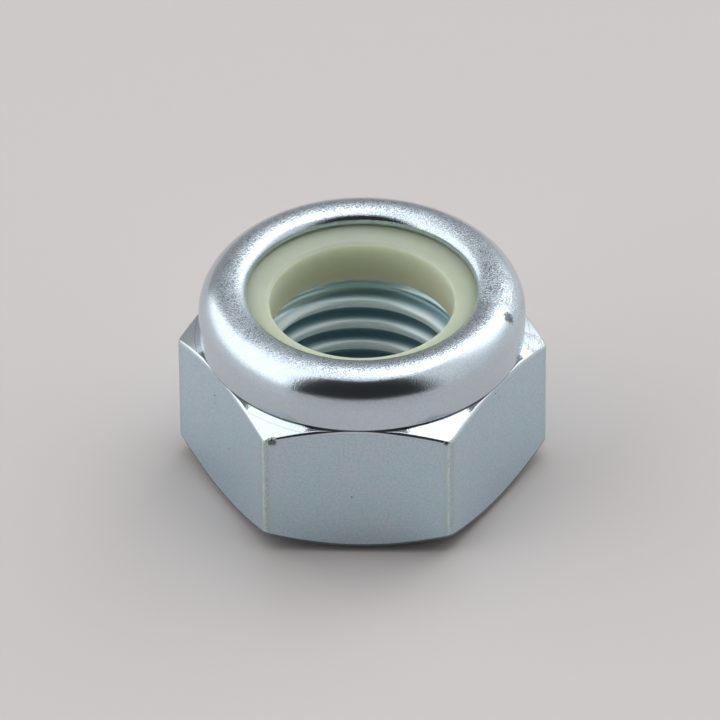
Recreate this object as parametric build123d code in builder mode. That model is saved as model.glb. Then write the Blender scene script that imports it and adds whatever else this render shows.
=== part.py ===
"""Hexagon lock nut, M16 x 2, with a nylon ring held in a rolled collar.

Millimetres, +Z up. The origin is the centre of the bearing face, and two flats face -Y and +Y.
"""
import os
from math import cos, pi, radians, sin, tan

from build123d import *
from build123d.topology import SkipClean

# Hexagon, from the bearing face up
across_flats = 24.0
edge_radius = 0.6            # the six upright edges
hex_top = 11.45              # where the upper bevel reaches the middle of a flat
bevel_angle = 29.0           # both bevels, from level
bearing_radius = 11.0        # where the lower bevel starts, so that the flats end above the bench

# Thread: coarse metric, right hand
thread_diameter = 16.0
thread_pitch = 2.0
flank_angle = 30.0           # each flank, from square to the axis
groove_start = -2.84         # height of the groove's middle where its helix leaves +X
groove_turns = 7
mouth_diameter = 17.3        # lower lead-in, at the bearing face
mouth_angle = 30.0           # from level
lead_in = 1.2                # upper lead-in, 45 degrees
relief_height = 1.0          # plain bore between the lead-in and the ring

# Collar, and the pocket that holds the ring
collar_root_radius = 11.95   # where the collar stands on the hexagon's top
collar_foot_radius = 12.13   # the wall's foot, which stands a little over the root
collar_foot_height = 0.13    # above the hexagon's top
collar_foot_slope = 0.073    # how far the wall leans out there, to a millimetre of height
collar_radius = 12.2
collar_widest = 13.5         # height of the widest place
shoulder_width = 2.2
nut_height = 16.0
lip_radius = 8.6
lip_edge = 15.27             # height where the roll ends and the lip's edge begins
lip_nose = 0.18
pocket_radius = 10.1
pocket_floor = 11.15

# Nylon ring
ring_bore_radius = 6.9
ring_bore_top = 14.2
ring_edge_round = 0.35
ring_top = 14.95             # under the lip
ring_dish = 0.05             # how far the slope that shows sags below a straight line

# Worked out from the above
half_flats = across_flats / 2
corner_radius = half_flats / cos(pi / 6)
outside = corner_radius + 1.0
bevel_slope = tan(radians(bevel_angle))
lower_bevel_top = (outside - bearing_radius) * bevel_slope
upper_bevel_foot = hex_top - (outside - half_flats) * bevel_slope
thread_height = thread_pitch / (2 * tan(radians(flank_angle)))
groove_depth = 5 / 8 * thread_height
minor_radius = thread_diameter / 2 - groove_depth
flank_slope = tan(radians(flank_angle))
mouth_radius = mouth_diameter / 2
mouth_depth = (mouth_radius - minor_radius) * tan(radians(mouth_angle))
lead_in_top = pocket_floor - relief_height
crest_length = lead_in_top - lead_in - mouth_depth
collar_crest = collar_radius - shoulder_width
overcut = 0.1                # how far a cutter reaches into open space
groove_root = thread_pitch / 8
groove_mouth = groove_root + 2 * (groove_depth + overcut) * flank_slope

os.makedirs("parts", exist_ok=True)

# Steel body: hexagon, collar and thread are one cold-formed piece
with BuildPart() as nut_body:
    with BuildSketch(Plane.XY) as hexagon:
        RegularPolygon(radius=corner_radius, side_count=6)
        fillet(hexagon.vertices(), radius=edge_radius)
    extrude(amount=hex_top)

    # The bevels turn the hexagon's corners down to two cones
    with BuildSketch(Plane.XZ):
        with BuildLine():
            Polyline(
                (0, 0),
                (bearing_radius, 0),
                (outside, lower_bevel_top),
                (outside, upper_bevel_foot),
                (half_flats, hex_top),
                (0, hex_top),
                close=True,
            )
        make_face()
    revolve(axis=Axis.Z, mode=Mode.INTERSECT)

    # The collar: a slightly swelling wall, a round shoulder, and the lip rolled inward
    with BuildSketch(Plane.XZ):
        with BuildLine():
            wall = Spline(
                (collar_foot_radius, hex_top + collar_foot_height),
                (collar_radius, collar_widest),
                tangents=((collar_foot_slope, 1), (0, 1)),
            )
            EllipticalCenterArc(
                (collar_crest, collar_widest),
                shoulder_width,
                nut_height - collar_widest,
                start_angle=0,
                arc_size=90,
            )
            roll = EllipticalCenterArc(
                (collar_crest, lip_edge),
                collar_crest - lip_radius,
                nut_height - lip_edge,
                start_angle=90,
                arc_size=90,
            )
            Polyline(
                roll @ 1,
                (lip_radius, pocket_floor),
                (collar_root_radius, pocket_floor),
                (collar_root_radius, hex_top),
                wall @ 0,
            )
        make_face()
    revolve(axis=Axis.Z)

    # The hole: lower lead-in, a pilot inside the thread, upper lead-in, plain bore, and the ring's pocket
    with BuildSketch(Plane.XZ):
        with BuildLine():
            Polyline(
                (0, -overcut),
                (mouth_radius, -overcut),
                (mouth_radius, 0),
                (minor_radius - overcut, mouth_depth + overcut * tan(radians(mouth_angle))),
                (minor_radius - overcut, lead_in_top - lead_in - overcut),
                (minor_radius + lead_in, lead_in_top),
                (minor_radius + lead_in, pocket_floor),
                (pocket_radius, pocket_floor),
                (pocket_radius, ring_top),
                (lip_radius + lip_nose, ring_top),
            )
            RadiusArc(
                (lip_radius + lip_nose, ring_top),
                (lip_radius, ring_top + lip_nose),
                lip_nose,
            )
            Polyline(
                (lip_radius, ring_top + lip_nose),
                (lip_radius, nut_height + overcut),
                (0, nut_height + overcut),
                (0, -overcut),
            )
        make_face()
    revolve(axis=Axis.Z, mode=Mode.SUBTRACT)

    # The bore at the thread's crests and then the thread's groove, each cut in short lengths.
    # The lengths' seams are kept, so that no face winds far round the axis.
    with SkipClean():
        for quarter in range(4):
            turn = quarter * pi / 2
            radial = Plane((0, 0, 0), x_dir=(cos(turn), sin(turn), 0), z_dir=(sin(turn), -cos(turn), 0))
            with BuildSketch(radial):
                with Locations((0, mouth_depth)):
                    Rectangle(minor_radius, crest_length, align=(Align.MIN, Align.MIN))
            revolve(axis=Axis.Z, revolution_arc=90, mode=Mode.SUBTRACT, clean=False)

        for turn in range(groove_turns):
            height = groove_start + turn * thread_pitch
            with BuildLine() as one_turn:
                Helix(
                    pitch=thread_pitch,
                    height=thread_pitch,
                    radius=minor_radius,
                    center=(0, 0, height),
                )
            with BuildSketch(Plane.XZ) as groove:
                with BuildLine():
                    Polyline(
                        (minor_radius - overcut, height - groove_mouth / 2),
                        (minor_radius + groove_depth, height - groove_root / 2),
                        (minor_radius + groove_depth, height + groove_root / 2),
                        (minor_radius - overcut, height + groove_mouth / 2),
                        close=True,
                    )
                make_face()
            sweep(
                sections=groove.sketch,
                path=one_turn.line,
                is_frenet=True,
                clean=False,
                mode=Mode.SUBTRACT,
            )
nut_body.part.label = "nut_body"
export_step(nut_body.part, "parts/nut_body.step")

# Nylon ring: moulded, dropped into the pocket before the lip is rolled over it
with BuildPart() as nylon_ring:
    slope_start = (ring_bore_radius + ring_edge_round, ring_bore_top + ring_edge_round)
    slope_end = (lip_radius + lip_nose, ring_top)
    slope_middle = (
        (slope_start[0] + slope_end[0]) / 2,
        (slope_start[1] + slope_end[1]) / 2 - ring_dish,
    )
    with BuildSketch(Plane.XZ):
        with BuildLine():
            Polyline(
                slope_end,
                (pocket_radius, ring_top),
                (pocket_radius, pocket_floor),
                (ring_bore_radius, pocket_floor),
                (ring_bore_radius, ring_bore_top),
            )
            RadiusArc((ring_bore_radius, ring_bore_top), slope_start, ring_edge_round)
            ThreePointArc(slope_start, slope_middle, slope_end)
        make_face()
    revolve(axis=Axis.Z)
nylon_ring.part.label = "nylon_ring"
export_step(nylon_ring.part, "parts/nylon_ring.step")
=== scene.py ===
from math import atan2, cos, hypot, pi, radians, sin, tan

import bmesh
import bpy
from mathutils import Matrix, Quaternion, Vector, noise


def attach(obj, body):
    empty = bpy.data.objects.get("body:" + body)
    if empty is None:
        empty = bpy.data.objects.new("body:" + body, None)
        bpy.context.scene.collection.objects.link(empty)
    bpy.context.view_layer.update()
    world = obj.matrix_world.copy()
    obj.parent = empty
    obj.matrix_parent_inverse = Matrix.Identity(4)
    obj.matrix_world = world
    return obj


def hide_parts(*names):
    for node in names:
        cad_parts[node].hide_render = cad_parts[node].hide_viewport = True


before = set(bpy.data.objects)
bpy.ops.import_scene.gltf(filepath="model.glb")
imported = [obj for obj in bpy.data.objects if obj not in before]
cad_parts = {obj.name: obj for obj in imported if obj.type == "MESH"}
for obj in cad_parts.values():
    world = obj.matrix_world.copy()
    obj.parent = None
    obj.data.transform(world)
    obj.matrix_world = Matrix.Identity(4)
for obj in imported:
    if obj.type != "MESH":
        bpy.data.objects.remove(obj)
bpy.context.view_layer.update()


# Steel body. One piece of cold-formed steel, tapped and then zinc plated: the hexagon with a bevel
# at both ends, the round collar with its top rolled inward over the ring, the ring's pocket, and
# the thread. Sizes are in millimetres, as on a drawing, and MM turns them to metres.
MM = 0.001
HALF_FLATS = 12.0
EDGE_RADIUS = 0.6            # the six upright edges
HEX_TOP = 11.45              # where the upper bevel reaches the middle of a flat
BEVEL_SLOPE = tan(radians(29))
BEARING_RADIUS = 11.0        # where the lower bevel starts, so the flats end above the floor
BEVEL_ROUND = 0.22           # the crease between a bevel and a flat
ROOT_RADIUS = 11.95          # the crease under the collar
ROOT_ROUND = 0.1
UNDERCUT_RADIUS = 12.13      # the collar stands a little over its root
UNDERCUT_HEIGHT = 0.13
UNDERCUT_BEND = 0.3          # how far above it the wall's own curve is met
COLLAR_RADIUS = 12.2
COLLAR_WIDEST = 13.5
COLLAR_CREST = 10.0
NUT_HEIGHT = 16.0
LIP_RADIUS = 8.6
LIP_EDGE = 15.27
LIP_NOSE = 0.18
POCKET_RADIUS = 10.1
POCKET_FLOOR = 11.15
POCKET_TOP = 14.95
MOUTH_RIM = 8.9              # where the bearing face's mesh meets the thread's
FLOOR_RIM = 8.3              # where the pocket floor's mesh meets the thread's

# How finely the outside is divided
ROWS = {
    "face": 5,
    "lower bevel": 8,
    "flat": 34,
    "upper bevel": 10,
    "wall": 16,
    "shoulder": 26,
    "lip": 18,
    "pocket top": 4,
    "pocket floor": 3,
}
WALL_CROWDING = 1.4          # the wall's rows are closer together near its foot
CREASE_STEPS = 6
SHARP_STEPS = 4              # round the bearing face's edge and the collar's root
NOSE_STEPS = 5
LONGEST_ROUND = 0.45         # the most of a straight that a rounding takes at one end
EDGE_LINES = 10              # upright lines round one edge of the hexagon
FLAT_LINES = 42              # and along one flat

# Pressing and rolling left the steel a little under its drawn size, and uneven
WAVE = 0.012
MEAN_DEPTH = 0.62            # these three are shares of WAVE, and together at most 1
BROAD_DEPTH = 0.3
CLOSE_DEPTH = 0.08
BROAD_WAVES = 0.35           # to the millimetre
CLOSE_WAVES = 1.1
CLOSE_SHIFT = Vector((7.0, 3.0, 5.0))    # so that the two patterns don't fall together

# Where the finish changes, and where painted light and shade lie
EDGE_FADE = 0.6              # how far onto a flat the look of an upright edge reaches
LEDGE_SHADE_RADIUS = 12.95          # the upper bevel gets painted shade where the hexagon's radius is under this, below the collar
LEDGE_SHADE_FADE = 0.5
SHOULDER_CRINKLE = 0.12      # crinkles on the shoulder, as a share of the lip's
CRINKLE_RISE = 0.84          # share of the shoulder's height where they start to grow
CRINKLE_GROWTH = 6
UNEVEN_ZONES = ("flat", "bevel", "crease", "wall", "shoulder", "lip")
SMOOTH_ZONES = ("crease", "bevel", "wall", "shoulder", "lip", "root")
# the zones low on the nut that are painted dark as painted shade
SHADED_UNDER_ZONES = ("face", "edge", "bevel", "crease")


def spaced(count):
    """Shares from 0 to 1, closer together near both ends."""
    return [0.5 - 0.5 * cos(pi * i / count) for i in range(count + 1)]


def corner(before, point, after, radius, steps):
    """A small curve in place of a corner of the profile."""
    def reach(other):
        length = hypot(other[0] - point[0], other[1] - point[1])
        share = min(radius, LONGEST_ROUND * length) / length
        return (point[0] + (other[0] - point[0]) * share, point[1] + (other[1] - point[1]) * share)

    start, end = reach(before), reach(after)
    curve = []
    for i in range(steps + 1):
        t = i / steps
        a, b, c = (1 - t) ** 2, 2 * t * (1 - t), t * t
        curve.append((
            a * start[0] + b * point[0] + c * end[0],
            a * start[1] + b * point[1] + c * end[1],
        ))
    return curve


def straight(start, end, count):
    """Points between two ends of the profile, without the ends."""
    return [
        (start[0] + (end[0] - start[0]) * t, start[1] + (end[1] - start[1]) * t)
        for t in spaced(count)[1:-1]
    ]


def collar_wall(z):
    """The collar's radius at a height between its root and its widest place."""
    foot = HEX_TOP + UNDERCUT_HEIGHT
    share = max(0.0, min(1.0, (z - foot) / (COLLAR_WIDEST - foot)))
    return COLLAR_RADIUS - (COLLAR_RADIUS - UNDERCUT_RADIUS) * (1 - share) ** 2


def outside_profile(hex_radius):
    """((radius, height), zone) of each row, from the thread's mouth, up outside, to the pocket."""
    low = (hex_radius, (hex_radius - BEARING_RADIUS) * BEVEL_SLOPE)
    high = (hex_radius, HEX_TOP - (hex_radius - HALF_FLATS) * BEVEL_SLOPE)
    rim, face = (MOUTH_RIM, 0.0), (BEARING_RADIUS, 0.0)
    root = (ROOT_RADIUS, HEX_TOP + (HALF_FLATS - ROOT_RADIUS) * BEVEL_SLOPE)
    brink = (UNDERCUT_RADIUS, HEX_TOP + UNDERCUT_HEIGHT)
    above = (collar_wall(brink[1] + UNDERCUT_BEND), brink[1] + UNDERCUT_BEND)
    bends = [
        corner(rim, face, low, BEVEL_ROUND, SHARP_STEPS),
        corner(face, low, high, BEVEL_ROUND, CREASE_STEPS),
        corner(low, high, root, BEVEL_ROUND, CREASE_STEPS),
        corner(high, root, brink, ROOT_ROUND, SHARP_STEPS),
        corner(root, brink, above, ROOT_ROUND, SHARP_STEPS),
    ]
    rows = [(rim, "face")]
    rows += [(p, "face") for p in straight(rim, bends[0][0], ROWS["face"])]
    rows += [(p, "edge") for p in bends[0]]
    rows += [(p, "bevel") for p in straight(bends[0][-1], bends[1][0], ROWS["lower bevel"])]
    rows += [(p, "crease") for p in bends[1]]
    rows += [(p, "flat") for p in straight(bends[1][-1], bends[2][0], ROWS["flat"])]
    rows += [(p, "crease") for p in bends[2]]
    rows += [(p, "bevel") for p in straight(bends[2][-1], bends[3][0], ROWS["upper bevel"])]
    rows += [(p, "root") for p in bends[3] + bends[4]]
    foot = bends[4][-1][1]
    for i in range(1, ROWS["wall"] + 1):
        z = foot + (COLLAR_WIDEST - foot) * (i / ROWS["wall"]) ** WALL_CROWDING
        rows.append(((collar_wall(z), z), "wall"))
    for i in range(1, ROWS["shoulder"] + 1):
        a = pi / 2 * i / ROWS["shoulder"]
        r = COLLAR_CREST + (COLLAR_RADIUS - COLLAR_CREST) * cos(a)
        z = COLLAR_WIDEST + (NUT_HEIGHT - COLLAR_WIDEST) * sin(a)
        rows.append(((r, z), "shoulder"))
    for i in range(1, ROWS["lip"] + 1):
        a = pi / 2 * i / ROWS["lip"]
        r = COLLAR_CREST - (COLLAR_CREST - LIP_RADIUS) * sin(a)
        z = LIP_EDGE + (NUT_HEIGHT - LIP_EDGE) * cos(a)
        rows.append(((r, z), "lip"))
    nose_top, nose = (LIP_RADIUS, LIP_EDGE), (LIP_RADIUS, POCKET_TOP)
    under, wall = (POCKET_RADIUS, POCKET_TOP), (POCKET_RADIUS, POCKET_FLOOR)
    halfway = (POCKET_RADIUS, (POCKET_FLOOR + POCKET_TOP) / 2)
    floor = (FLOOR_RIM, POCKET_FLOOR)
    rows += [(p, "lip") for p in corner(nose_top, nose, under, LIP_NOSE, NOSE_STEPS)]
    rows += [(p, "pocket") for p in straight(rows[-1][0], under, ROWS["pocket top"])]
    rows += [(p, "pocket") for p in (under, halfway, wall)]
    rows += [(p, "pocket") for p in straight(wall, floor, ROWS["pocket floor"])]
    rows.append((floor, "pocket"))
    return rows


def hexagon_lines():
    """(angle, radius, closeness to an upright edge, distance past it) of each upright line."""
    edge_centre = (HALF_FLATS - EDGE_RADIUS) / cos(pi / 6)
    half_length = edge_centre * sin(pi / 6)
    lines = []
    for side in range(6):
        turn = side * pi / 3
        for i in range(EDGE_LINES):
            a = radians(-30 + 60 * i / EDGE_LINES)
            x, y = edge_centre + EDGE_RADIUS * cos(a), EDGE_RADIUS * sin(a)
            lines.append((turn + atan2(y, x), hypot(x, y), 1.0, a * EDGE_RADIUS))
        for i in range(FLAT_LINES):
            t = -1 + 2 * i / FLAT_LINES
            x = half_length * (1.5 * t - 0.5 * t ** 3)    # closer together near the edges
            past = half_length - abs(x)
            near = max(0.0, 1 - past / EDGE_FADE)
            across = (past + EDGE_RADIUS * pi / 6) * (1 if x < 0 else -1)
            angle = turn + pi / 6 + atan2(x, HALF_FLATS)
            lines.append((angle, hypot(x, HALF_FLATS), near, across))
    return lines


def unevenness(x, y, z):
    """How far a point lies under its drawn size, as a share of WAVE. It is never above it."""
    place = Vector((x, y, z))
    broad = noise.noise(place * BROAD_WAVES)
    close = noise.noise(place * CLOSE_WAVES + CLOSE_SHIFT)
    return -(MEAN_DEPTH + BROAD_DEPTH * broad + CLOSE_DEPTH * close)


ZONES = ("edge", "across", "root", "rolled", "smooth", "bevel", "under")
points, quads, zones = [], [], {name: [] for name in ZONES}
lines = hexagon_lines()
profiles = [outside_profile(radius) for angle, radius, near, across in lines]
row_count = len(profiles[0])
for (angle, radius, near, across), profile in zip(lines, profiles):
    # painted shade on the upper bevel's ledge under the collar
    ledge_shade = max(0.0, min(1.0, (LEDGE_SHADE_RADIUS - radius) / LEDGE_SHADE_FADE))
    for (r, z), zone in profile:
        if zone in UNEVEN_ZONES:
            dent = WAVE * unevenness(r * cos(angle), r * sin(angle), z)
            if zone in ("shoulder", "lip"):
                z += dent
            if zone != "lip":
                r += dent
        points.append((r * cos(angle) * MM, r * sin(angle) * MM, z * MM))
        upper = z > HEX_TOP / 2
        rise = (z - COLLAR_WIDEST) / (NUT_HEIGHT - COLLAR_WIDEST)
        crinkles = max(SHOULDER_CRINKLE, min(1.0, (rise - CRINKLE_RISE) * CRINKLE_GROWTH))
        zones["edge"].append(near if zone in ("flat", "crease") else 0.0)
        zones["across"].append(across)
        zones["root"].append({"root": 1.0, "bevel": ledge_shade if upper else 0.0}.get(zone, 0.0))
        zones["rolled"].append({"lip": 1.0, "shoulder": crinkles}.get(zone, 0.0))
        zones["bevel"].append(1.0 if zone == "bevel" else 0.0)
        zones["under"].append(1.0 if zone in SHADED_UNDER_ZONES and not upper else 0.0)
        zones["smooth"].append(1.0 if zone in SMOOTH_ZONES else 0.0)
for column in range(len(lines)):
    here, there = column * row_count, (column + 1) % len(lines) * row_count
    for row in range(row_count - 1):
        quads.append((here + row, there + row, there + row + 1, here + row + 1))


class Wire:
    """One output of a node. Sums and products of wires and numbers add Math nodes to its tree."""

    def __init__(self, tree, socket):
        self.tree = tree
        self.socket = socket

    def __getitem__(self, name):
        return Wire(self.tree, self.socket.node.outputs[name])

    def __add__(self, other):
        return self.tree.math("ADD", self, other)

    def __radd__(self, other):
        return self.tree.math("ADD", other, self)

    def __sub__(self, other):
        return self.tree.math("SUBTRACT", self, other)

    def __rsub__(self, other):
        return self.tree.math("SUBTRACT", other, self)

    def __mul__(self, other):
        return self.tree.math("MULTIPLY", self, other)

    def __rmul__(self, other):
        return self.tree.math("MULTIPLY", other, self)

    def __truediv__(self, other):
        return self.tree.math("DIVIDE", self, other)

    def __abs__(self):
        return self.tree.math("ABSOLUTE", self)

    def most(self, other, blend=None):
        """The larger of two values, blended where they are close if blend says how far."""
        if blend is None:
            return self.tree.math("MAXIMUM", self, other)
        return self.tree.math("SMOOTH_MAX", self, other, blend)

    def least(self, other, blend=None):
        """The smaller of two values, blended in the same way."""
        if blend is None:
            return self.tree.math("MINIMUM", self, other)
        return self.tree.math("SMOOTH_MIN", self, other, blend)


class Tree:
    """Adds nodes to a material, to the world or to a Geometry Nodes tree."""

    def __init__(self, nodes_and_links):
        self.tree = nodes_and_links

    def node(self, kind, settings=None, sockets=None, out=0):
        """A node of one kind: its settings first, then the values or wires of its sockets."""
        made = self.tree.nodes.new(kind)
        for name, value in (settings or {}).items():
            setattr(made, name, value)
        for name, value in (sockets or {}).items():
            if isinstance(value, Wire):
                self.tree.links.new(value.socket, made.inputs[name])
            else:
                made.inputs[name].default_value = value
        return Wire(self, made.outputs[out]) if made.outputs else made

    def math(self, operation, *values):
        """Math on numbers."""
        return self.node("ShaderNodeMath", {"operation": operation}, dict(enumerate(values)))

    def vector(self, operation, *values):
        """Vector Math. A distance and a length come out as numbers."""
        out = "Value" if operation in ("DISTANCE", "LENGTH") else "Vector"
        settings = {"operation": operation}
        return self.node("ShaderNodeVectorMath", settings, dict(enumerate(values)), out)

    def step(self, value, low, high):
        """0 below low, 1 above high, and a smooth rise between them."""
        sockets = {"Value": value, "From Min": low, "From Max": high}
        return self.node("ShaderNodeMapRange", {"interpolation_type": "SMOOTHSTEP"}, sockets)

    def mix(self, share, first, second):
        """Two colours mixed."""
        settings = {"data_type": "RGBA"}
        return self.node("ShaderNodeMix", settings, {0: share, 6: first, 7: second}, 2)

    def noise(self, place, scale, detail, roughness=0.5):
        """A cloudy pattern, from 0 to 1, with scale patches to the millimetre."""
        sockets = {"Vector": place, "Scale": scale, "Detail": detail, "Roughness": roughness}
        return self.node("ShaderNodeTexNoise", {}, sockets)

    def place_on_nut(self):
        """Where a point is, in millimetres."""
        place = self.node("ShaderNodeTexCoord", out="Object")
        sockets = {0: place, "Scale": 1 / MM}
        return self.node("ShaderNodeVectorMath", {"operation": "SCALE"}, sockets)

    def out_from_axis(self, place):
        """How far a point is from the thread's axis."""
        return self.vector("LENGTH", self.vector("MULTIPLY", place, (1.0, 1.0, 0.0)))

    def height_on_nut(self, place):
        """How far a point is above the bearing face."""
        return self.node("ShaderNodeSeparateXYZ", {}, {0: place}, "Z")


def new_material(name):
    """A material and its tree, emptied."""
    material = bpy.data.materials.new(name)
    material.use_nodes = True
    material.node_tree.nodes.clear()
    return material, Tree(material.node_tree)


# The zinc: blue-grey with cloudy teal and violet patches, a fine grain, and brighter where a die or
# a roller has pressed it smooth. The rolled lip is crinkled, with painted dark and bright
# reflections in its flecks, and the upright edges are worn, with a painted highlight along them.
# Painted shade lies on the underside and in the crease under the collar, and the thread has painted
# shade in its grooves and painted light on its crests.
BLUE_GREY = (0.575, 0.705, 0.80, 1.0)
VIOLET_GREY = (0.60, 0.695, 0.795, 1.0)
TEAL_GREY = (0.54, 0.715, 0.78, 1.0)
BRIGHT_GREY = (0.65, 0.71, 0.765, 1.0)
SPECK_DARK = (0.40, 0.49, 0.56, 1.0)
# flecks of painted dark and bright reflection on the crinkled lip
DARK_REFLECTION_FLECK = (0.15, 0.18, 0.23, 1.0)
BRIGHT_REFLECTION_FLECK = (0.98, 1.0, 1.0, 1.0)
EDGE_TINGE = (0.53, 0.62, 0.60, 1.0)
# a bright line along each upright edge: wear and a painted highlight
WORN_EDGE_HIGHLIGHT = (0.74, 0.88, 0.84, 1.0)
# painted shade on the bearing face, its edge and the lower bevel and crease
UNDERSIDE_SHADE = (0.20, 0.23, 0.25, 1.0)
# dark for dirt, pits and a turning mark, and as painted shade in the crease under the collar
DIRT_AND_SHADE = (0.035, 0.04, 0.045, 1.0)
# painted shade on the thread's flanks and in its grooves, and painted light on its crests
THREAD_GROOVE_SHADE = (0.25, 0.40, 0.46, 1.0)
THREAD_CREST_LIGHT = (0.86, 0.98, 1.0, 1.0)
THREAD_LEAD_IN = (0.72, 0.90, 0.93, 1.0)

# How much of each shows, from 0 to 1
TEAL_SHARE = 0.85
BRIGHT_SHARE = 0.7
GRAIN_SHARE = 0.4
GRAIN_LOST = 0.2             # less grain where the steel is pressed smooth
SPECK_SHARE = 0.25
CRINKLE_LEFT = 0.4           # of the lip's crinkles, beside the ring
REFLECTION_FLECK_EVEN = 0.6             # of the flecks of painted reflection; the rest come and go with the patches
DARK_REFLECTION_SHARE = 0.85
BRIGHT_REFLECTION_SHARE = 0.4
TINGE_SHARE = 0.55
WORN_HIGHLIGHT_SHARE = 0.7
EDGE_DIRT_SHARE = 0.4
# painted shade in the crease under the collar and on the ledge beneath it
ROOT_SHADE_SHARE = 0.8
ROOT_SHADE_RAGGED = 0.7       # how uneven its outline is
PIT_DIRT_SHARE = 0.85
MARK_DIRT_SHARE = 0.3
DIRT_AND_SHADE_SHARE = 0.9

# Where some of it is, and how wide, in millimetres
CRINKLE_START = (8.8, 9.6)   # radii between which the lip's crinkles grow
EDGE_WANDER = 0.16           # how far the line of wear and painted highlight strays
WORN_HIGHLIGHT_LINE = -0.15            # from the middle of an upright edge
WORN_HIGHLIGHT_WIDTH = (0.05, 0.16)
DIRT_LINE = 0.12
DIRT_WIDTH = (0.1, 0.3)
RING_MARK = 12.5             # radius of a turning mark on the bevel
MARK_WANDER = 0.15
MARK_WIDTH = (0.01, 0.05)
LEAD_IN_SHADE = (9.35, 9.6)  # heights between which the thread's colours give way
PITS = (                     # where, and how large
    (-10.82, -5.26, 9.35, 0.13),
    (-10.83, -5.25, 8.59, 0.09),
    (-9.77, -7.08, 5.79, 0.09),
    (-0.45, -12.0, 5.28, 0.08),
    (-6.28, -12.0, 10.36, 0.42),
    (6.55, -12.0, 10.45, 0.2),
    (11.05, -3.11, 15.35, 0.55),
    (10.1, -6.5, 10.9, 0.1),
    (10.3, -6.1, 10.2, 0.08),
)
PIT_RAGGED = 1.5
SCUFFS = (
    (12.75, -0.5, 11.03, 1.1),
    (10.65, -0.2, 15.6, 2.2),
)
SCUFF_RAGGED = 2.0
STROKES = (7.0, 1.5, 4.0)    # strokes to the millimetre in a scuff, along each axis

# Heights of its relief, in millimetres, and its gloss
GRAIN_TO_SPECK = 1.5
FINE_HEIGHT = 0.008
FINE_LOST = 0.006            # less where the steel is pressed smooth, and on the thread
PATCH_HEIGHT = 0.004
CRINKLE_HEIGHT = 0.04
STROKE_HEIGHT = 0.05
PIT_DEPTH = 0.05
SATIN = 0.36
SMOOTH_GLOSS = 0.2
THREAD_GLOSS = 0.05
GRAIN_GLOSS = 0.1
THREAD_DULL = 0.5            # the thread mirrors less than the outside does
CREST_DULL = 0.25            # and its crests less again

zinc, tree = new_material("zinc_plated_steel")
place = tree.place_on_nut()
part = {
    name: tree.node("ShaderNodeAttribute", {"attribute_name": name}, {}, "Fac")
    for name in ZONES + ("thread", "crest")
}
broad = tree.noise(place, scale=0.28, detail=3.0)
patch = tree.noise(place, scale=0.8, detail=5.0, roughness=0.65)
grain = tree.noise(place, scale=5.5, detail=3.0, roughness=0.65)
crinkle = tree.noise(place, scale=8.5, detail=2.0, roughness=0.65)
speck = tree.noise(place, scale=12.0, detail=2.0, roughness=0.6)
strokes = tree.noise(tree.vector("MULTIPLY", place, STROKES), scale=1.0, detail=2.0)


def spots(places, ragged):
    """1 inside each of the places, 0 outside all of them, with ragged outlines."""
    mask = 0.0
    for x, y, z, size in places:
        away = tree.vector("DISTANCE", place, (x, y, z))
        inside = (size - away) / size + (grain - 0.5) * ragged
        mask = tree.step(inside, low=0.0, high=0.5).most(mask)
    return mask


pits = spots(PITS, PIT_RAGGED)
scuffs = spots(SCUFFS, SCUFF_RAGGED)
skin = tree.mix(tree.step(broad, low=0.4, high=0.6), BLUE_GREY, VIOLET_GREY)
skin = tree.mix(tree.step(patch, low=0.46, high=0.66) * TEAL_SHARE, skin, TEAL_GREY)
skin = tree.mix(part["smooth"] * BRIGHT_SHARE, skin, BRIGHT_GREY)
grain_share = GRAIN_SHARE - part["smooth"] * GRAIN_LOST
skin = tree.mix(tree.step(grain, low=0.4, high=0.62) * grain_share, skin, SPECK_DARK)
skin = tree.mix(tree.step(speck, low=0.5, high=0.7) * SPECK_SHARE, skin, SPECK_DARK)

out = tree.out_from_axis(place)
crinkled = part["rolled"] * (CRINKLE_LEFT + tree.step(out, *CRINKLE_START) * (1 - CRINKLE_LEFT))
# the crinkles' dark and bright reflections, painted into the colour as flecks
reflection_flecks = crinkled * (REFLECTION_FLECK_EVEN + tree.step(patch, low=0.4, high=0.6) * (1 - REFLECTION_FLECK_EVEN))
dark_reflections = tree.step(crinkle, low=0.4, high=0.62) * reflection_flecks * DARK_REFLECTION_SHARE
skin = tree.mix(dark_reflections, skin, DARK_REFLECTION_FLECK)
bright_reflections = tree.step(speck, low=0.55, high=0.7) * reflection_flecks * BRIGHT_REFLECTION_SHARE
skin = tree.mix(bright_reflections, skin, BRIGHT_REFLECTION_FLECK)

skin = tree.mix(part["edge"] * TINGE_SHARE, skin, EDGE_TINGE)
across = part["across"] + (patch - 0.5) * EDGE_WANDER
# wear and a painted highlight along the rounded upright edge
worn_highlight = 1 - tree.step(abs(across - WORN_HIGHLIGHT_LINE), *WORN_HIGHLIGHT_WIDTH)
worn_highlight = worn_highlight * tree.step(patch + grain, low=0.85, high=1.12)
skin = tree.mix(worn_highlight * part["edge"] * WORN_HIGHLIGHT_SHARE, skin, WORN_EDGE_HIGHLIGHT)
edge_dirt = 1 - tree.step(abs(across - DIRT_LINE), *DIRT_WIDTH)
edge_dirt = edge_dirt * tree.step(speck, low=0.5, high=0.65)
skin = tree.mix(edge_dirt * part["edge"] * EDGE_DIRT_SHARE, skin, DIRT_AND_SHADE)
# the underside of the nut painted dark, as painted shade
skin = tree.mix(part["under"], skin, UNDERSIDE_SHADE)

mark = abs(out - RING_MARK + (patch - 0.5) * MARK_WANDER)
mark = (1 - tree.step(mark, *MARK_WIDTH)) * part["bevel"]
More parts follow.
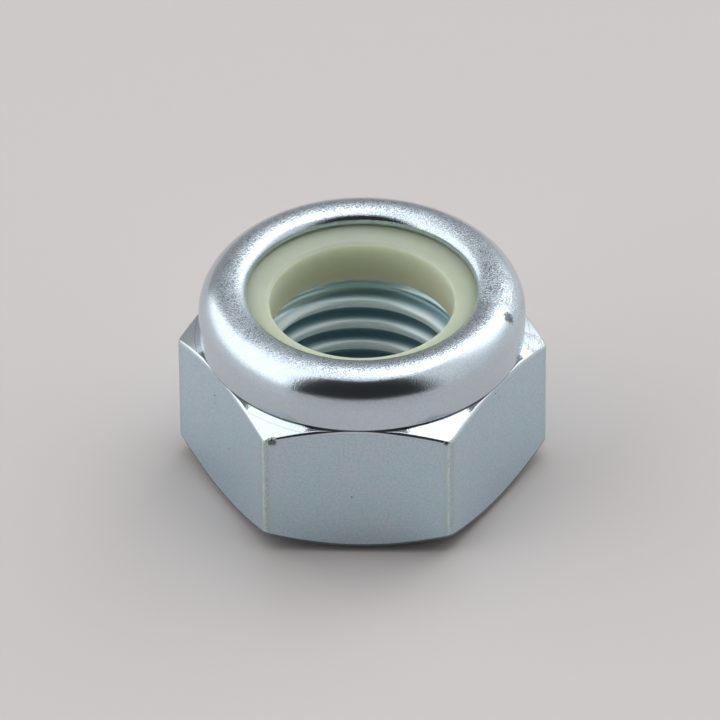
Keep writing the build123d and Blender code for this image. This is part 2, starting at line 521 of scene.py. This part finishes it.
# painted shade in the crease under the collar and on the ledge below it, with real pits and a
# turning mark
dirt_and_shade = part["root"] * ROOT_SHADE_SHARE + (speck - 0.5) * ROOT_SHADE_RAGGED
dirt_and_shade = tree.step(dirt_and_shade, low=0.4, high=0.65)
dirt_and_shade = dirt_and_shade.most(pits * PIT_DIRT_SHARE).most(mark * MARK_DIRT_SHARE)
skin = tree.mix(dirt_and_shade * DIRT_AND_SHADE_SHARE, skin, DIRT_AND_SHADE)

# painted shade in the grooves and painted light on the crests, following the crest measure
ridge = tree.step(part["crest"], low=0.4, high=0.95)
thread_light_and_shade = tree.mix(ridge, THREAD_GROOVE_SHADE, THREAD_CREST_LIGHT)
lead_in_share = tree.step(tree.height_on_nut(place), *LEAD_IN_SHADE)
thread_light_and_shade = tree.mix(lead_in_share, thread_light_and_shade, THREAD_LEAD_IN)
skin = tree.mix(part["thread"], skin, thread_light_and_shade)

gloss = (part["smooth"] * SMOOTH_GLOSS).most(part["thread"] * THREAD_GLOSS)
satin = SATIN - gloss + (grain - 0.5) * GRAIN_GLOSS
fine = FINE_HEIGHT - part["smooth"] * FINE_LOST - part["thread"] * FINE_LOST
relief = grain * fine * GRAIN_TO_SPECK + speck * fine + patch * PATCH_HEIGHT
relief = relief + crinkle * crinkled * CRINKLE_HEIGHT
relief = relief + strokes * scuffs * STROKE_HEIGHT - pits * PIT_DEPTH
bump = tree.node("ShaderNodeBump", {}, {"Strength": 1.0, "Distance": MM, "Height": relief})
metal = tree.node("ShaderNodeBsdfPrincipled", {}, {
    "Base Color": skin,
    "Metallic": 1.0 - part["thread"] * (THREAD_DULL + ridge * CREST_DULL),
    "Roughness": satin,
    "Normal": bump,
})
tree.node("ShaderNodeOutputMaterial", {}, {"Surface": metal})


# The thread. It is tapped right hand, from the mouth up to the pocket's floor, with a lead-in at
# each end. A grid is bent round the axis for it, and its rows of faces climb with the helix.
THREAD_SIZES = {
    "Columns": 240,
    "Rows per turn": 24,
    "Turns": 7,
    "Pitch": 2.0,
    "Start": -2.84,              # height of the groove's middle at +X
    "Minor radius": 6.9175,
    "Groove depth": 1.0825,
    "Groove half width": 0.75,   # at the minor radius
    "Flank slope": tan(radians(30)),
    "Mouth radius": 8.65,
    "Mouth slope": 1.7325,
    "Lead-in start": 8.95,
    "Relief radius": 8.1175,     # plain bore between the lead-in and the ring
    "Top": POCKET_FLOOR,
    "Rounding": 0.3,
}
WHOLE = ("Columns", "Rows per turn", "Turns")
SEAM = 0.0005                # points of the grid's two ends this close are one
RIM_THICKNESS = 0.001        # points of a rim are this near to its height


def thread_nodes():
    """The Geometry Nodes tree that bends a grid into the thread's wall."""
    group = bpy.data.node_groups.new("thread_wall", "GeometryNodeTree")
    for name in THREAD_SIZES:
        kind = "NodeSocketInt" if name in WHOLE else "NodeSocketFloat"
        group.interface.new_socket(name, in_out="INPUT", socket_type=kind)
    group.interface.new_socket("Material", in_out="INPUT", socket_type="NodeSocketMaterial")
    group.interface.new_socket("Wall", in_out="OUTPUT", socket_type="NodeSocketGeometry")
    wall = Tree(group)
    size = wall.node("NodeGroupInput")
    rows = size["Rows per turn"] * size["Turns"]
    grid = wall.node("GeometryNodeMeshGrid", {}, {
        "Size X": 1.0,
        "Size Y": 1.0,
        "Vertices X": size["Columns"] + 1,
        "Vertices Y": rows + 1,
    })
    spot = wall.node("ShaderNodeSeparateXYZ", {}, {0: wall.node("GeometryNodeInputPosition")})
    round_share = spot["X"] + 0.5    # the grid's middle is at 0
    climb = (spot["Y"] + 0.5) * size["Turns"] * size["Pitch"]
    z = (climb + size["Start"] + round_share * size["Pitch"]).most(0.0).least(size["Top"])
    from_groove = wall.math("PINGPONG", climb, size["Pitch"] / 2)
    depth = (size["Groove half width"] - from_groove) / size["Flank slope"]
    depth = depth.most(0.0, size["Rounding"]).least(size["Groove depth"], size["Rounding"])
    mouth = size["Mouth radius"] - z * size["Mouth slope"]
    lead_in = (size["Minor radius"] + z - size["Lead-in start"]).least(size["Relief radius"])
    cut = size["Minor radius"] + depth
    radius = cut.most(mouth).most(lead_in)
    angle = round_share * (2 * pi)
    at = wall.node("ShaderNodeCombineXYZ", {}, {
        "X": radius * wall.math("COSINE", angle) * MM,
        "Y": radius * wall.math("SINE", angle) * MM,
        "Z": z * MM,
    })
    settings = {"data_type": "FLOAT", "domain": "POINT"}
    marked = wall.node("GeometryNodeStoreNamedAttribute", settings, {
        "Geometry": grid,
        "Name": "crest",
        "Value": 1 - depth / size["Groove depth"],
    })
    shaped = wall.node("GeometryNodeSetPosition", {}, {"Geometry": marked, "Position": at})
    sockets = {"Geometry": shaped, "Distance": SEAM * MM}
    closed = wall.node("GeometryNodeMergeByDistance", {}, sockets)
    real = wall.node("GeometryNodeRealizeInstances", {}, {"Geometry": closed})
    sockets = {"Geometry": real, "Material": size["Material"]}
    faced = wall.node("GeometryNodeSetMaterial", {}, sockets)
    wall.node("NodeGroupOutput", {}, {"Wall": faced})
    return group


thread_wall = bpy.data.objects.new("thread_wall", bpy.data.meshes.new("thread_wall"))
bpy.context.scene.collection.objects.link(thread_wall)
modifier = thread_wall.modifiers.new("thread_wall", "NODES")
modifier.node_group = thread_nodes()
for socket in modifier.node_group.interface.items_tree:
    if socket.in_out == "INPUT":
        modifier[socket.identifier] = THREAD_SIZES.get(socket.name, zinc)
graph = bpy.context.evaluated_depsgraph_get()
thread_mesh = bpy.data.meshes.new_from_object(
    thread_wall.evaluated_get(graph), preserve_all_data_layers=True, depsgraph=graph
)
thread_wall.modifiers.clear()
bpy.data.objects.remove(thread_wall)

crest = [item.value for item in thread_mesh.attributes["crest"].data]
first = len(points)
points += [tuple(v.co) for v in thread_mesh.vertices]
quads += [tuple(first + i for i in face.vertices) for face in thread_mesh.polygons]


def rim(numbers, level):
    """(angle, number) of the points at one height, in order round the axis."""
    at_level = [i for i in numbers if abs(points[i][2] - level * MM) < RIM_THICKNESS * MM]
    return sorted((atan2(points[i][1], points[i][0]), i) for i in at_level)


def stitch(inner, outer):
    """Triangles that close the gap between two rims."""
    faces, i, j = [], 0, 0
    while i < len(inner) or j < len(outer):
        next_inner = inner[(i + 1) % len(inner)][0] + 2 * pi * ((i + 1) // len(inner))
        next_outer = outer[(j + 1) % len(outer)][0] + 2 * pi * ((j + 1) // len(outer))
        here, there = inner[i % len(inner)][1], outer[j % len(outer)][1]
        if j == len(outer) or (i < len(inner) and next_inner <= next_outer):
            i += 1
            faces.append((here, inner[i % len(inner)][1], there))
        else:
            j += 1
            faces.append((outer[j % len(outer)][1], there, here))
    return faces


thread_points = range(first, len(points))
mouth = [column * row_count for column in range(len(lines))]
pocket = [column * row_count + row_count - 1 for column in range(len(lines))]
quads += stitch(rim(thread_points, 0.0), rim(mouth, 0.0))
quads += stitch(rim(thread_points, POCKET_FLOOR), rim(pocket, POCKET_FLOOR))
for name in ZONES:
    zones[name] += [0.0] * len(crest)
zones["thread"] = [0.0] * first + [1.0] * len(crest)
zones["crest"] = [0.0] * first + crest


def closed_mesh(name, points, faces, measures, material):
    """A smooth mesh object with a measure at each point for each label, and its faces outward."""
    mesh = bpy.data.meshes.new(name)
    mesh.from_pydata(points, [], faces)
    for label, values in measures.items():
        layer = mesh.attributes.new(label, "FLOAT", "POINT")
        layer.data.foreach_set("value", values)
    shape = bmesh.new()
    shape.from_mesh(mesh)
    bmesh.ops.recalc_face_normals(shape, faces=shape.faces)
    if shape.calc_volume(signed=True) < 0:
        bmesh.ops.reverse_faces(shape, faces=shape.faces)
    for face in shape.faces:
        face.smooth = True
    shape.to_mesh(mesh)
    shape.free()
    mesh.materials.append(material)
    piece = bpy.data.objects.new(name, mesh)
    bpy.context.scene.collection.objects.link(piece)
    return piece


steel = closed_mesh("steel_nut", points, quads, zones, zinc)
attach(steel, "root")
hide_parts("nut_body")


# Nylon ring. A moulded ring of natural nylon, dropped into the pocket and held there by the rolled
# lip. Only its sloping top and its bore show. The bolt will form its own thread in the bore.
BORE_RADIUS = 6.9
BORE_TOP = 14.2
BORE_ROUND = 0.35
SLOPE_DISH = 0.05            # how far the slope sags below a straight line
RING_COLUMNS = 288
RING_ROWS = {"top": 3, "outside": 5, "foot": 6, "bore": 12, "round": 8, "slope": 16}

slope_start = (BORE_RADIUS + BORE_ROUND, BORE_TOP + BORE_ROUND)
slope_end = (LIP_RADIUS + LIP_NOSE, POCKET_TOP)
outer_top, outer_foot = (POCKET_RADIUS, POCKET_TOP), (POCKET_RADIUS, POCKET_FLOOR)
inner_foot, inner_top = (BORE_RADIUS, POCKET_FLOOR), (BORE_RADIUS, BORE_TOP)
ring_profile = [slope_end]
ring_profile += straight(slope_end, outer_top, RING_ROWS["top"]) + [outer_top]
ring_profile += straight(outer_top, outer_foot, RING_ROWS["outside"]) + [outer_foot]
ring_profile += straight(outer_foot, inner_foot, RING_ROWS["foot"]) + [inner_foot]
ring_profile += straight(inner_foot, inner_top, RING_ROWS["bore"])
for i in range(RING_ROWS["round"] + 1):
    a = pi / 2 * i / RING_ROWS["round"]
    ring_profile.append((BORE_RADIUS + BORE_ROUND * (1 - cos(a)), BORE_TOP + BORE_ROUND * sin(a)))
for i in range(1, RING_ROWS["slope"]):
    t = i / RING_ROWS["slope"]
    r = slope_start[0] + (slope_end[0] - slope_start[0]) * t
    z = slope_start[1] + (slope_end[1] - slope_start[1]) * t - SLOPE_DISH * 4 * t * (1 - t)
    ring_profile.append((r, z))

ring_points, ring_quads = [], []
count = len(ring_profile)
for column in range(RING_COLUMNS):
    angle = 2 * pi * column / RING_COLUMNS
    here, there = column * count, (column + 1) % RING_COLUMNS * count
    for row, (r, z) in enumerate(ring_profile):
        ring_points.append((r * cos(angle) * MM, r * sin(angle) * MM, z * MM))
        below = (row + 1) % count
        ring_quads.append((here + row, there + row, there + below, here + below))

NYLON_GREEN = (0.41, 0.475, 0.365, 1.0)
NYLON_CREAM = (0.445, 0.495, 0.385, 1.0)
NYLON_LIP_SHADE = (0.22, 0.27, 0.14, 1.0)    # painted shade where it lies under the lip
# the bore wall is painted lighter than the slope, as painted light, and darker and yellower towards
# its foot, as painted shade
NYLON_BORE_LIGHT = (0.66, 0.71, 0.57, 1.0)
NYLON_LOW_SHADE = (0.65, 0.62, 0.40, 1.0)
LIP_SHADE_SHARE = 0.55
LIP_SHADE_WANDER = 0.8
LIP_SHADE_RADII = (7.7, 8.8)        # radii between which the painted shade grows
FOOT_SHADE = (11.4, 13.9)    # heights between which the painted shade at the bore's foot fades
BORE_EDGE = (6.91, 7.05)     # radii between which the bore's colours end
RIPPLE_HEIGHT = 0.004
RIPPLE_STRENGTH = 0.3
NYLON_SATIN = 0.38
RIPPLE_GLOSS = 0.1
GLOW_DEPTH = 4.0             # how far light travels in the nylon, in millimetres
GLOW_TINT = (1.0, 1.0, 0.6)

nylon, tree = new_material("natural_nylon")
place = tree.place_on_nut()
cloud = tree.noise(place, scale=0.25, detail=2.0)
ripple = tree.noise(place, scale=3.0, detail=3.0)
body = tree.mix(tree.step(cloud, low=0.35, high=0.65), NYLON_GREEN, NYLON_CREAM)
out = tree.out_from_axis(place)
# painted shade on the slope where it runs in under the lip
lip_shade = tree.step(out + (cloud - 0.5) * LIP_SHADE_WANDER, *LIP_SHADE_RADII)
body = tree.mix(lip_shade * LIP_SHADE_SHARE, body, NYLON_LIP_SHADE)
# painted light on the bore wall, fading into painted shade towards its foot
bore = tree.mix(tree.step(tree.height_on_nut(place), *FOOT_SHADE), NYLON_LOW_SHADE, NYLON_BORE_LIGHT)
body = tree.mix(tree.step(out, *BORE_EDGE), bore, body)
bump = tree.node("ShaderNodeBump", {}, {
    "Strength": RIPPLE_STRENGTH,
    "Distance": RIPPLE_HEIGHT * MM,
    "Height": ripple,
})
plastic = tree.node("ShaderNodeBsdfPrincipled", {}, {
    "Base Color": body,
    "Roughness": NYLON_SATIN + ripple * RIPPLE_GLOSS,
    "Normal": bump,
    "Subsurface Weight": 1.0,
    "Subsurface Radius": GLOW_TINT,
    "Subsurface Scale": GLOW_DEPTH * MM,
})
tree.node("ShaderNodeOutputMaterial", {}, {"Surface": plastic})

ring = closed_mesh("nylon_insert", ring_points, ring_quads, {}, nylon)
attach(ring, "root")
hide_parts("nylon_ring")


# Studio. A seamless pale floor, and round it the soft light that a small metal part is usually
# photographed in: a large panel overhead, paler ones at the sides, a grey wall behind, and a dim
# room in front. The world's colour in each direction is that of the panel which hangs there.
FLOOR_SIZE = 4.0             # in metres


def colour(red, green, blue):
    """A colour given as on a screen, from 0 to 255, in the linear values that sockets take."""
    def linear(value):
        value /= 255
        return value / 12.92 if value <= 0.04045 else ((value + 0.055) / 1.055) ** 2.4

    return (linear(red), linear(green), linear(blue), 1.0)


FLOOR_COLOUR = colour(194, 190, 189)

half = FLOOR_SIZE / 2
floor_corners = [(-half, -half, 0), (half, -half, 0), (half, half, 0), (-half, half, 0)]
floor_mesh = bpy.data.meshes.new("studio_floor")
floor_mesh.from_pydata(floor_corners, [], [(0, 1, 2, 3)])
floor = bpy.data.objects.new("studio_floor", floor_mesh)
bpy.context.scene.collection.objects.link(floor)
paper, tree = new_material("studio_paper")
soft = tree.node("ShaderNodeBsdfPrincipled", {}, {
    "Base Color": FLOOR_COLOUR, "Roughness": 0.45, "Specular IOR Level": 0.4,
})
tree.node("ShaderNodeOutputMaterial", {}, {"Surface": soft})
floor_mesh.materials.append(paper)

# Brightness of each panel, where 1 is white
OVERHEAD = (1.45, 2.9)       # over the left, and over the right side of the back
LEFT_PANEL = 1.6
RIGHT_PANEL = (0.85, 2.8)    # at its front end, and at its back end
LOW_LEFT = 0.65              # what the side panels give near the floor
LOW_RIGHT = 0.68
BACK_WALL = (0.36, 0.44)     # near the floor, and higher up
DIM_FRONT = 0.03
HORIZON = 0.2                # added to the dim front near the floor

# Where each one is, in degrees: a direction or a height and then its softness, or two and theirs
HORIZON_TOP = (4, 8)
WALL_RISE = (20, 30)
WALL_SIDES = (120, 9)
LEFT_SPAN = (-137, -46, 9)
LEFT_RISE = (6, 28)
RIGHT_SPAN = (50, 158, 22)
RIGHT_RISE = (22, 45)
RIGHT_CHANGE = (112, 65)
OVERHEAD_EDGE = 64.5
OVERHEAD_TILT = 18           # its edge is higher in front than behind
OVERHEAD_SOFTNESS = 12
OVERHEAD_LEAN = (0.82, 0.57)     # to the right and to the back, where it is brighter
OVERHEAD_CHANGE = (-0.1, 0.45)

world = bpy.data.worlds.new("studio")
bpy.context.scene.world = world
world.use_nodes = True
world.node_tree.nodes.clear()
tree = Tree(world.node_tree)
direction = tree.node("ShaderNodeTexCoord", out="Generated")
toward = tree.node("ShaderNodeSeparateXYZ", {}, {0: direction})
azimuth = tree.math("ARCTAN2", toward["X"], 0 - toward["Y"]) * (180 / pi)
elevation = tree.math("ARCSINE", toward["Z"]) * (180 / pi)


def above(value, edge, softness):
    """0 below an edge and 1 above it, in degrees, with a soft change."""
    return tree.step(value, edge - softness / 2, edge + softness / 2)


def between(left, right, softness):
    """1 between two directions, counted from the front and positive to the right."""
    return above(azimuth, left, softness) * (1 - above(azimuth, right, softness))


room = DIM_FRONT + (1 - above(elevation, *HORIZON_TOP)) * HORIZON
back_wall = BACK_WALL[0] + above(elevation, *WALL_RISE) * (BACK_WALL[1] - BACK_WALL[0])
room = room + above(abs(azimuth), *WALL_SIDES) * (back_wall - room)
left_panel = LOW_LEFT + above(elevation, *LEFT_RISE) * (LEFT_PANEL - LOW_LEFT)
room = room + between(*LEFT_SPAN) * (left_panel - room)
right_panel = RIGHT_PANEL[0] + above(azimuth, *RIGHT_CHANGE) * (RIGHT_PANEL[1] - RIGHT_PANEL[0])
right_panel = LOW_RIGHT + above(elevation, *RIGHT_RISE) * (right_panel - LOW_RIGHT)
room = room + between(*RIGHT_SPAN) * (right_panel - room)
lean = toward["X"] * OVERHEAD_LEAN[0] + toward["Y"] * OVERHEAD_LEAN[1]
overhead = OVERHEAD[0] + tree.step(lean, *OVERHEAD_CHANGE) * (OVERHEAD[1] - OVERHEAD[0])
overhead_edge = OVERHEAD_EDGE - toward["Y"] * OVERHEAD_TILT
strength = room + above(elevation, overhead_edge, OVERHEAD_SOFTNESS) * (overhead - room)
sky = tree.node("ShaderNodeBackground", {}, {"Color": (1.0, 1.0, 1.0, 1.0), "Strength": strength})
tree.node("ShaderNodeOutputWorld", {}, {"Surface": sky})


# Camera. A long lens, held by hand, that looks down over the collar and almost square to one flat.
# Its aim puts the centre of the bearing face where the photograph has it.
CAMERA_DISTANCE = 0.70           # in metres
CAMERA_ELEVATION = radians(38.05)
CAMERA_SIDE = radians(2.03)      # how far to the right of the front flat it stands
CAMERA_ROLL = radians(-0.47)
PIXELS_PER_MM = 13.26
IMAGE_SIZE = 720
NUT_PIXEL = (363.1, 451.8)       # where the centre of the bearing face falls in the image

back = Vector((
    sin(CAMERA_SIDE) * cos(CAMERA_ELEVATION),
    -cos(CAMERA_SIDE) * cos(CAMERA_ELEVATION),
    sin(CAMERA_ELEVATION),
))
turn = back.to_track_quat("Z", "Y") @ Quaternion((0.0, 0.0, 1.0), CAMERA_ROLL)
right, up = turn @ Vector((1, 0, 0)), turn @ Vector((0, 1, 0))
aim = (
    right * ((IMAGE_SIZE / 2 - NUT_PIXEL[0]) / PIXELS_PER_MM * MM)
    + up * ((NUT_PIXEL[1] - IMAGE_SIZE / 2) / PIXELS_PER_MM * MM)
)
lens = bpy.data.cameras.new("camera")
lens.sensor_width = 36.0
lens.lens = lens.sensor_width * CAMERA_DISTANCE / (IMAGE_SIZE / PIXELS_PER_MM * MM)
lens.clip_start = 0.01
lens.clip_end = 20.0
camera = bpy.data.objects.new("camera", lens)
camera.rotation_mode = "QUATERNION"
camera.rotation_quaternion = turn
camera.location = aim + back * CAMERA_DISTANCE
bpy.context.scene.collection.objects.link(camera)
bpy.context.scene.camera = camera
bpy.context.scene.view_settings.view_transform = "Standard"
